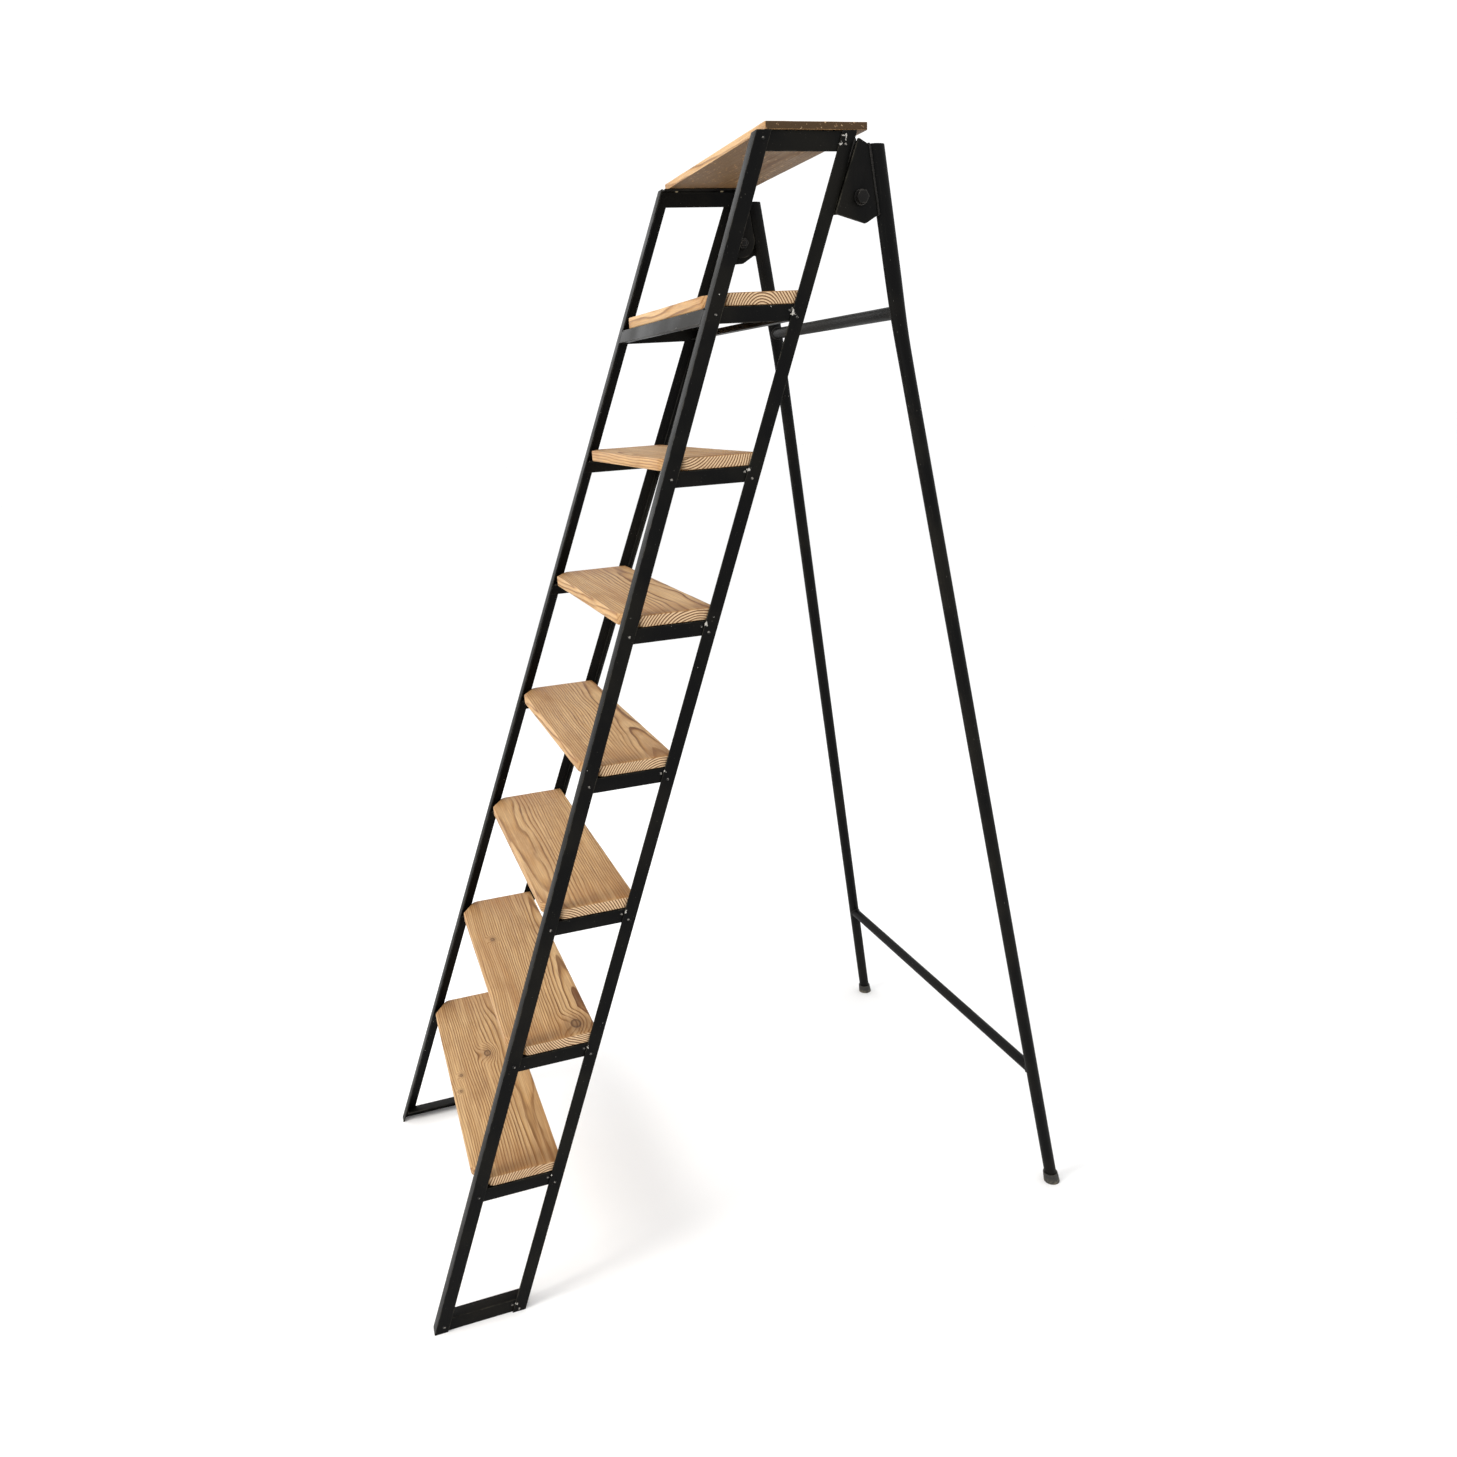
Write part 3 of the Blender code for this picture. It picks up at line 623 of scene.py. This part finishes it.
def heads_tree():
    """A low domed head at every point, standing along the point's facing attribute. The crown
    attribute runs from 0 at its rim to 1 at its top."""
    tree = new_tree("domed heads", ["Head Radius", "Head Height"])
    given = tree.nodes.new("NodeGroupInput").outputs
    ball = wire(tree, "GeometryNodeMeshUVSphere", {"Segments": 14, "Rings": 10, "Radius": 1.0})
    place = wire(tree, "GeometryNodeInputPosition").outputs["Position"]
    height = wire(tree, "ShaderNodeSeparateXYZ", {0: place}).outputs["Z"]
    stored = wire(tree, "GeometryNodeStoreNamedAttribute",
                  {"Geometry": ball.outputs["Mesh"], "Name": "crown", "Value": height},
                  data_type="FLOAT", domain="POINT").outputs["Geometry"]
    shape = wire(tree, "ShaderNodeCombineXYZ", {0: given["Head Radius"], 1: given["Head Radius"],
                                                2: given["Head Height"]}).outputs[0]
    head = wire(tree, "GeometryNodeTransform", {"Geometry": stored, "Scale": shape}).outputs["Geometry"]
    facing = wire(tree, "GeometryNodeInputNamedAttribute", {"Name": "facing"}, data_type="FLOAT_VECTOR")
    turn = wire(tree, "FunctionNodeAlignRotationToVector", {"Vector": facing.outputs["Attribute"]}, axis="Z")
    placed = wire(tree, "GeometryNodeInstanceOnPoints", {
        "Points": given["Geometry"], "Instance": head, "Rotation": turn.outputs["Rotation"],
        "Scale": random_scale(tree, HEAD_SCALES, HEAD_SEED)}).outputs["Instances"]
    close_tree(tree, placed, given["Material"])
    return tree


def weld_tree():
    """Overlapping drops of weld along every seam line."""
    tree = new_tree("weld drops", ["Drop Radius", "Drop Pitch"])
    given = tree.nodes.new("NodeGroupInput").outputs
    seam = wire(tree, "GeometryNodeMeshToCurve", {"Mesh": given["Geometry"]}).outputs["Curve"]
    points = wire(tree, "GeometryNodeResampleCurve", {"Curve": seam, "Length": given["Drop Pitch"]},
                  mode="LENGTH").outputs["Curve"]
    drop = wire(tree, "GeometryNodeMeshIcoSphere", {"Radius": given["Drop Radius"], "Subdivisions": 2})
    placed = wire(tree, "GeometryNodeInstanceOnPoints", {
        "Points": points, "Instance": drop.outputs["Mesh"],
        "Scale": random_scale(tree, DROP_SCALES, DROP_SEED)}).outputs["Instances"]
    close_tree(tree, placed, given["Material"])
    return tree


def grow(name, guide, tree, values, body):
    """What the tree makes of the guide mesh, as one plain piece."""
    holder = bpy.data.objects.new(f"{name}_guide", guide)
    bpy.context.scene.collection.objects.link(holder)
    modifier = holder.modifiers.new("made", "NODES")
    modifier.node_group = tree
    for item in tree.interface.items_tree:
        if item.in_out == "INPUT" and item.name in values:
            modifier[item.identifier] = values[item.name]
    graph = bpy.context.evaluated_depsgraph_get()
    mesh = bpy.data.meshes.new_from_object(holder.evaluated_get(graph), depsgraph=graph)
    bpy.data.objects.remove(holder)
    piece = add_piece(name, mesh, body)
    return piece


def points_mesh(name, points):
    """Each point is a place and the way that it faces."""
    mesh = bpy.data.meshes.new(name)
    mesh.from_pydata([place for place, _ in points], [], [])
    facing = mesh.attributes.new("facing", "FLOAT_VECTOR", "POINT")
    for entry, (_, way) in zip(facing.data, points):
        entry.vector = way
    return mesh


def surface_of(names):
    """The faces of these nodes, for finding where a line meets them."""
    verts, faces = [], []
    for name in names:
        mesh = NODES[name].data
        start = len(verts)
        verts += [vert.co.copy() for vert in mesh.vertices]
        faces += [[start + corner for corner in face.vertices] for face in mesh.polygons]
    return BVHTree.FromPolygons(verts, faces)


def side_hit(surface, side_name, behind, z):
    """Where a level line from outside this side first meets the surface, and how it faces there."""
    side = SIDES[side_name]
    start = Vector((side, side_front(z) + behind, z))
    return surface.ray_cast(start, Vector((-side, 0, 0)))[:2]


def rivet_points():
    """On each side frame: a rivet at the front of every bar, and one or two at its rear."""
    points = []
    for side_name in SIDES:
        bars = [f"tread_bar_{number}_{side_name}" for number in range(1, len(TREADS) + 1)]
        bars = [f"bottom_bar_{side_name}", *bars, f"top_rail_{side_name}"]
        surface = surface_of(bars + [f"stile_front_{side_name}", f"stile_rear_{side_name}"])
        for bar in bars:
            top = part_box(bar)[1].z
            places = [FRONT_RIVET, BAR_RIVET, REAR_RIVET]
            if bar.startswith("top_rail"):
                places.remove(BAR_RIVET)
            for behind, below in places:
                points.append(side_hit(surface, side_name, behind, max(top - below, LOWEST_RIVET)))
    return points


def screw_points():
    """From below, two through each bar's ledge into the tread, and two through each top rail."""
    points = []
    for side_name in SIDES:
        bars = [f"tread_bar_{number}_{side_name}" for number in range(1, len(TREADS) + 1)]
        for bar in bars + [f"top_rail_{side_name}"]:
            surface = surface_of([bar])
            low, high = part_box(bar)
            centre = (low + high) / 2
            for shift in (-SCREW_SPREAD, SCREW_SPREAD):
                start = Vector((centre.x, centre.y + shift, centre.z - LOOK_UP_FROM))
                hit = surface.ray_cast(start, Vector((0, 0, 1)))[0]
                points.append((hit, Vector((0, 0, -1))))
    return points


def seam_edges(node, other, reach):
    """The node's sharp edges that run close along the other node."""
    surface = surface_of([other])
    shape = merged(node)
    lines = []
    for edge in sharp_edges(shape):
        first, last = (vert.co.copy() for vert in edge.verts)
        gaps = [surface.find_nearest(first.lerp(last, share))[3] for share in SEAM_TESTS]
        if max(gaps) < reach:
            lines.append((first, last))
    shape.free()
    return lines


def seams_mesh(name, pairs):
    """Lines along the seams of these pairs: a node, the node that it is welded to, and how close
    their seam is."""
    mesh = bpy.data.meshes.new(name)
    verts, edges = [], []
    for node, other, reach in pairs:
        for line in seam_edges(node, other, reach):
            edges.append((len(verts), len(verts) + 1))
            verts += line
    mesh.from_pydata(verts, edges, [])
    shape = bmesh.new()
    shape.from_mesh(mesh)
    bmesh.ops.remove_doubles(shape, verts=shape.verts, dist=SEAM_MERGE)
    shape.to_mesh(mesh)
    shape.free()
    return mesh


# ---- the ladder's finish ------------------------------------------------------------------
def paint_chips():
    """Places where paint has come away, each with how far it reaches."""
    chips = list(LARGE_CHIPS)
    for number in range(1, len(TREADS)):
        for side_name, below in SMALL_CHIP_BELOW.items():
            chips.append((f"tread_bar_{number}", side_name, SMALL_CHIP_BEHIND, below, SMALL_CHIP_REACH))
    spots = []
    for bar, side_name, behind, below, reach in chips:
        names = [f"{name}_{side_name}" for name in (bar, "stile_rear", "stile_front")]
        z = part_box(names[0])[1].z - below
        spots.append((side_hit(surface_of(names), side_name, behind, z)[0], reach))
    return spots


def tread_knots(rng):
    """The large knots have their own places, and every board has a chance of a small one."""
    knots = []
    for number, across, behind, size in LARGE_KNOTS:
        low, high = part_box(f"tread_{number}")
        knots.append((Vector((across, low.y + behind, high.z)), size))
    for tread in TREADS:
        low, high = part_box(tread)
        if rng.random() < SMALL_KNOT_CHANCE:
            across = rng.uniform(low.x * KNOT_SPREAD, high.x * KNOT_SPREAD)
            along = rng.uniform(low.y + KNOT_FROM_EDGE, high.y - KNOT_FROM_EDGE)
            knots.append((Vector((across, along, high.z)), rng.uniform(*SMALL_KNOT_RADII)))
    return knots


def finish_frames():
    """Every steel and rubber piece. Plates and fastenings have their edges eased; the angles and tubes
    come with theirs rounded already."""
    materials = {"black_paint": black_paint(paint_chips()), "blackened_bolt": blackened_bolt(),
                 "rubber": foot_rubber()}
    for node in NODES:
        if SLOT_OF[node] in materials:
            ease = next((width for start, width in EASED.items() if node.startswith(start)), 0)
            finish_steel(node, materials[SLOT_OF[node]], ease)


def finish_timber():
    rng = random.Random(TIMBER_SEED)
    wood = pine(tread_knots(rng))
    for tread in TREADS:
        saw_board(tread, f"{tread}_board", wood, TREAD_EASE, FOOTWORN, TREAD_DARKENINGS, rng)
    saw_board("top_board", "top_step_board", wood, BOARD_EASE, 0.0, BOARD_DARKENINGS, rng)


def add_rivets_and_screws():
    heads = heads_tree()
    rivets = {"Head Radius": RIVET_RADIUS, "Head Height": RIVET_HEIGHT, "Material": rivet_heads()}
    grow("side_frame_rivets", points_mesh("rivet_places", rivet_points()), heads, rivets,
         "ladder_frame")
    screws = {"Head Radius": SCREW_RADIUS, "Head Height": SCREW_HEIGHT, "Material": screw_heads()}
    grow("tread_screws", points_mesh("screw_places", screw_points()), heads, screws,
         "ladder_frame")


def add_welds():
    hinge_seams, prop_seams = [], []
    for side_name in SIDES:
        front, rear, leg = (f"{name}_{side_name}" for name in ("stile_front", "stile_rear", "prop_leg"))
        hinge_seams += [(f"hinge_plate_{side_name}", rear, PLATE_SEAM),
                        ("cross_member_front", front, PLATE_SEAM), ("cross_member_rear", rear, PLATE_SEAM)]
        prop_seams += [(f"prop_gusset_{side_name}", leg, GUSSET_SEAM),
                       ("prop_bar_upper", leg, BAR_SEAM), ("prop_bar_lower", leg, BAR_SEAM)]
    drops = weld_tree()
    weld = {"Drop Radius": WELD_RADIUS, "Drop Pitch": WELD_PITCH, "Material": painted_weld()}
    grow("hinge_welds", seams_mesh("hinge_seams", hinge_seams), drops, weld, "ladder_frame")
    grow("prop_welds", seams_mesh("prop_seams", prop_seams), drops, weld, "prop_frame")


# ---- floor, light and camera --------------------------------------------------------------
FLOOR_HALF = 30                    # the floor reaches this far each way
SKY_STRENGTH = 1.10
KEY_LIGHT = {"place": (0.7, -3.4, 3.0), "aim": (0, 0, 1.2), "size": 1.8, "power": 105,
             "colour": (1.0, 0.97, 0.93)}
FILL_LIGHT = {"place": (-3.2, -1.2, 2.6), "aim": (0, 0, 1.0), "size": 2.4, "power": 20,
              "colour": (1, 1, 1)}
# The camera stands here, measured from the floor below the side frames' front feet.
CAMERA_PLACE = (2.0564, 0.0307, 1.6555)
CAMERA_TURN = 1.2696               # radians: 0 faces the treads, pi / 2 the ladder's right side
CAMERA_TILT = -0.3337              # downwards
CAMERA_ROLL = -0.0618
SENSOR_WIDTH = 36                  # mm
FOCAL_LENGTH = 26.945
LENS_SHIFT = (0.0321, 0.0302)


def add_floor():
    shape = bmesh.new()
    bmesh.ops.create_grid(shape, x_segments=8, y_segments=8, size=FLOOR_HALF)
    mesh = bpy.data.meshes.new("floor")
    shape.to_mesh(mesh)
    shape.free()
    mesh.materials.append(floor_finish())
    floor = bpy.data.objects.new("floor", mesh)
    bpy.context.scene.collection.objects.link(floor)


def add_area_light(name, place, aim, size, power, colour):
    light = bpy.data.lights.new(name, "AREA")
    light.shape = "DISK"
    light.size = size
    light.energy = power
    light.color = colour
    holder = bpy.data.objects.new(name, light)
    holder.location = place
    holder.rotation_euler = (Vector(aim) - Vector(place)).to_track_quat("-Z", "Y").to_euler()
    bpy.context.scene.collection.objects.link(holder)


def add_light():
    world = bpy.data.worlds.new("soft studio")
    bpy.context.scene.world = world
    world.use_nodes = True
    sky = world.node_tree.nodes["Background"]
    sky.inputs["Color"].default_value = (1, 1, 1, 1)
    sky.inputs["Strength"].default_value = SKY_STRENGTH
    add_area_light("key light", **KEY_LIGHT)
    add_area_light("fill light", **FILL_LIGHT)


def add_camera():
    """A short lens close to the ladder's right side, a little above head height, looking down."""
    level = Vector((math.cos(CAMERA_TURN), math.sin(CAMERA_TURN), 0))
    ahead = Vector((-level.y * math.cos(CAMERA_TILT), level.x * math.cos(CAMERA_TILT), math.sin(CAMERA_TILT)))
    above = level.cross(ahead)
    right = level * math.cos(CAMERA_ROLL) + above * math.sin(CAMERA_ROLL)
    up = above * math.cos(CAMERA_ROLL) - level * math.sin(CAMERA_ROLL)
    lens = bpy.data.cameras.new("camera")
    lens.sensor_width = SENSOR_WIDTH
    lens.lens = FOCAL_LENGTH
    lens.shift_x, lens.shift_y = LENS_SHIFT
    camera = bpy.data.objects.new("camera", lens)
    place = Vector(CAMERA_PLACE) + Vector((0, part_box("stile_front_right")[0].y, 0))
    turned = Matrix((right, up, -ahead)).transposed().to_4x4()
    camera.matrix_world = Matrix.Translation(place) @ turned
    bpy.context.scene.collection.objects.link(camera)
    bpy.context.scene.camera = camera


add_camera()
bpy.context.scene.view_settings.view_transform = "Standard"
finish_frames()
finish_timber()
add_rivets_and_screws()
add_welds()
add_floor()
add_light()
